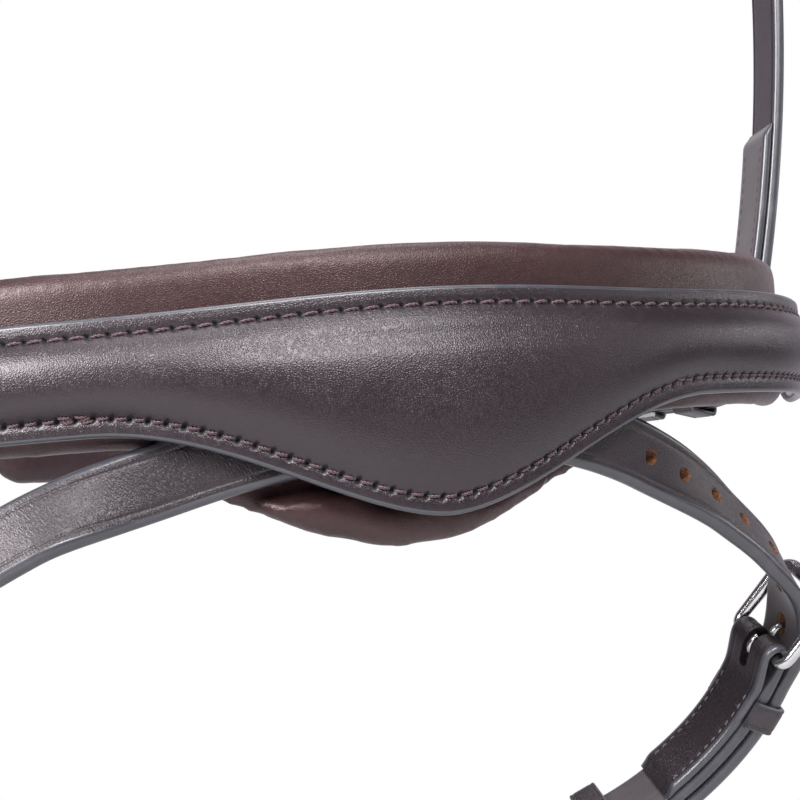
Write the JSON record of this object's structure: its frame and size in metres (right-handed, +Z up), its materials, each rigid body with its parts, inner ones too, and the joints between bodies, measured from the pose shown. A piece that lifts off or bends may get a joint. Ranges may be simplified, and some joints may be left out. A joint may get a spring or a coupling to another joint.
{
  "type": "flash noseband",
  "caption": "Padded leather noseband with a raised shaped front, a headpiece, a buckled chin strap and a flash strap held by a loop behind the front.",
  "frame": {"origin": "where the headpiece's crown rests on the horse's poll, on the inner face of the strap at the top", "axes": "+Z up along the headpiece, -Y towards the front of the horse's nose, +X to the horse's near (left) side"},
  "size_m": [0.3163, 0.1826, 0.6021],
  "materials": {
    "front_leather": "very dark brown bridle leather, fine grain, satin sheen",
    "strap_leather": "very dark brown strap leather, light creases across, satin",
    "lining_leather": "soft dark brown lining leather, matt",
    "foam": "light cellular padding, hidden",
    "felt": "dense shaped filler, hidden",
    "nickel": "polished nickel-plated buckles"
  },
  "bodies": {
    "straps": {"front_leather": "front_leather", "raised_filler": "felt", "front_backing": "front_leather", "nose_pad_foam": "foam", "nose_pad_cover": "lining_leather", "flash_loop": "front_leather", "near_chape": "strap_leather", "chin_strap": "strap_leather", "chin_pad_foam": "foam", "chin_pad_cover": "lining_leather", "noseband_fixed_keeper": "strap_leather", "flash_strap": "strap_leather", "flash_fixed_keeper": "strap_leather", "near_hanger": "strap_leather", "sliphead_strap": "strap_leather", "sliphead_fixed_keeper": "strap_leather"},
    "noseband_buckle_frame": {"noseband_buckle_frame": "nickel"},
    "noseband_buckle_tongue": {"noseband_buckle_tongue": "nickel"},
    "noseband_sliding_keeper": {"noseband_sliding_keeper": "strap_leather"},
    "flash_buckle_frame": {"flash_buckle_frame": "nickel"},
    "flash_buckle_tongue": {"flash_buckle_tongue": "nickel"},
    "flash_sliding_keeper": {"flash_sliding_keeper": "strap_leather"},
    "sliphead_buckle_frame": {"sliphead_buckle_frame": "nickel"},
    "sliphead_buckle_tongue": {"sliphead_buckle_tongue": "nickel"},
    "sliphead_sliding_keeper": {"sliphead_sliding_keeper": "strap_leather"}
  },
  "joints": [
    {"name": "noseband_frame_hinge", "type": "hinge", "parent": "straps", "child": "noseband_buckle_frame", "pos_m": [0.10763, 0.06379, -0.46048], "axis": [-0.0744, -0.0801, -0.994], "range_deg": [-1, 2]},
    {"name": "noseband_tongue_hinge", "type": "hinge", "parent": "noseband_buckle_frame", "child": "noseband_buckle_tongue", "pos_m": [0.10763, 0.06379, -0.46048], "axis": [-0.0744, -0.0801, -0.994], "range_deg": [0, 3]},
    {"name": "noseband_keeper_slide", "type": "slide", "parent": "straps", "child": "noseband_sliding_keeper", "axis": [-0.4089, 0.9033, 0.1298], "range_m": [-0.003, 0.003]},
    {"name": "flash_frame_hinge", "type": "hinge", "parent": "straps", "child": "flash_buckle_frame", "pos_m": [0.09549, -0.02287, -0.54682], "axis": [-0.0608, 0.7822, 0.62], "range_deg": [-1, 2]},
    {"name": "flash_tongue_hinge", "type": "hinge", "parent": "flash_buckle_frame", "child": "flash_buckle_tongue", "pos_m": [0.09549, -0.02287, -0.54682], "axis": [-0.0608, 0.7822, 0.62], "range_deg": [0, 3]},
    {"name": "flash_keeper_slide", "type": "slide", "parent": "straps", "child": "flash_sliding_keeper", "axis": [-0.881, 0.2935, -0.371], "range_m": [-0.002, 0.002]},
    {"name": "sliphead_frame_hinge", "type": "hinge", "parent": "straps", "child": "sliphead_buckle_frame", "pos_m": [0.1491, -0.00642, -0.26544], "axis": [0.0654, 0.9974, 0.0311], "range_deg": [-1, 2]},
    {"name": "sliphead_tongue_hinge", "type": "hinge", "parent": "sliphead_buckle_frame", "child": "sliphead_buckle_tongue", "pos_m": [0.1491, -0.00642, -0.26544], "axis": [0.0654, 0.9974, 0.0311], "range_deg": [0, 3]},
    {"name": "sliphead_keeper_slide", "type": "slide", "parent": "straps", "child": "sliphead_sliding_keeper", "axis": [0.0111, -0.0455, 0.9989], "range_m": [-0.01, 0.01]}
  ]
}
